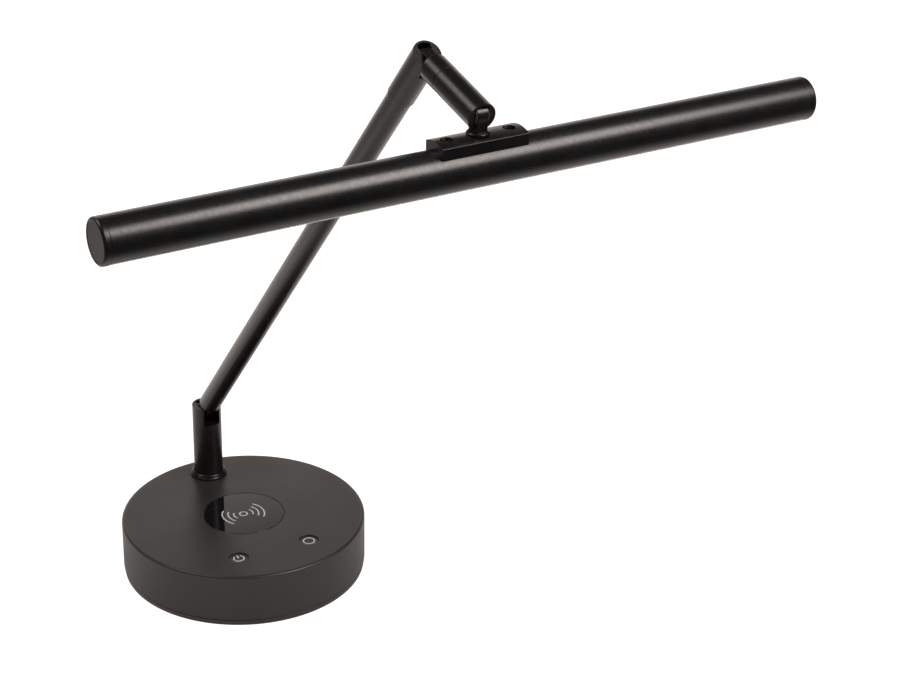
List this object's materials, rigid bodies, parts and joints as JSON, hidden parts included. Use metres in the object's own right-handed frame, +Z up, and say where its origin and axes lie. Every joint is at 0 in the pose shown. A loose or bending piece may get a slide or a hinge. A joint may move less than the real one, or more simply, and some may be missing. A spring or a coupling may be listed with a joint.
{
  "type": "picture light",
  "caption": "Free-standing lamp with a long tubular head on a folding arm, rising from a round base that has a charging disc and push buttons.",
  "frame": {"origin": "centre of the round base, on the table under the foot pad", "axes": "+Z up, -Y to the front where the buttons are, +Y to the post at the back, +X to the right seen from the front"},
  "size_m": [0.4657, 0.4299, 0.4844],
  "materials": {
    "base_black": "fine soft-touch black",
    "foot_rubber": "matt anti-slip",
    "gloss_black": "polished black",
    "button_black": "satin black",
    "black_enamel": "semi-gloss black coat on aluminium",
    "tube_black": "satin black anodised",
    "opal": "frosted opal",
    "bare_steel": "plain",
    "screw_steel": "zinc plated",
    "screw_brass": "yellow passivated",
    "bare_aluminium": "plain extrusion",
    "copper": "enamelled copper wire",
    "ferrite": "dark ferrite sheet",
    "inner_plastic": "moulded black",
    "board_green": "solder mask",
    "board_white": "white solder mask",
    "chip_black": "moulded",
    "led_yellow": "phosphor",
    "wire_rubber": "sheathed cable"
  },
  "bodies": {
    "base": {"base_cover": "base_black", "bottom_plate": "base_black", "foot_pad": "foot_rubber", "ballast_weight": "bare_steel", "ballast_screws": "screw_steel", "cover_screws": "screw_steel", "charging_disc": "gloss_black", "ferrite_sheet": "ferrite", "charging_coil": "copper", "coil_tray": "inner_plastic", "tray_screws": "screw_steel", "charger_board": "board_green", "charger_components": "chip_black", "charger_screws": "screw_steel", "control_board": "board_green", "control_screws": "screw_steel", "tact_switches": "chip_black", "power_jack": "gloss_black", "post_bushing": "inner_plastic", "post_collar": "black_enamel"},
    "power_button": {"power_button": "button_black"},
    "mode_button": {"mode_button": "button_black"},
    "post": {"post_tube": "black_enamel", "post_nut": "screw_steel", "post_washer": "screw_steel", "arm_pin": "screw_steel", "arm_washers": "inner_plastic"},
    "arm": {"arm_tongue": "black_enamel", "arm_tube": "black_enamel", "arm_sleeve": "black_enamel", "arm_wire": "wire_rubber", "link_pin": "screw_steel", "link_washers": "inner_plastic"},
    "link": {"link_tongue": "black_enamel", "link_tube": "black_enamel", "link_wire": "wire_rubber", "neck_pin": "screw_steel", "neck_washers": "inner_plastic"},
    "neck": {"neck_stem": "black_enamel", "neck_nut": "screw_steel"},
    "head": {"saddle": "black_enamel", "saddle_screws": "screw_brass", "backing_plate": "bare_steel", "light_tube": "tube_black", "diffuser": "opal", "led_carrier": "bare_aluminium", "led_strip": "board_white", "led_chips": "led_yellow", "end_cap_left": "tube_black", "end_cap_right": "tube_black"}
  },
  "joints": [
    {"name": "post_swivel", "type": "hinge", "parent": "base", "child": "post", "pos_m": [0, 0.0685, 0.0415], "axis": [0, 0, 1], "range_deg": [-45, 45]},
    {"name": "arm_tilt", "type": "hinge", "parent": "post", "child": "arm", "pos_m": [0, 0.0685, 0.0977], "axis": [0.9988, 0.0488, 0], "range_deg": [-40, 18]},
    {"name": "link_tilt", "type": "hinge", "parent": "arm", "child": "link", "pos_m": [0.0158, -0.25455, 0.47506], "axis": [0.9988, 0.0488, 0], "range_deg": [-60, 35]},
    {"name": "head_tilt", "type": "hinge", "parent": "link", "child": "neck", "pos_m": [0.01874, -0.31476, 0.46058], "axis": [0.9988, 0.0488, 0], "range_deg": [-60, 23]},
    {"name": "head_swivel", "type": "hinge", "parent": "neck", "child": "head", "pos_m": [0.01874, -0.31476, 0.44928], "axis": [0, 0, 1], "range_deg": [-60, 60]},
    {"name": "power_button_press", "type": "slide", "parent": "base", "child": "power_button", "axis": [0, 0, -1], "range_m": [0, 0.0006], "stiffness_N_per_m": 400},
    {"name": "mode_button_press", "type": "slide", "parent": "base", "child": "mode_button", "axis": [0, 0, -1], "range_m": [0, 0.0006], "stiffness_N_per_m": 400}
  ]
}
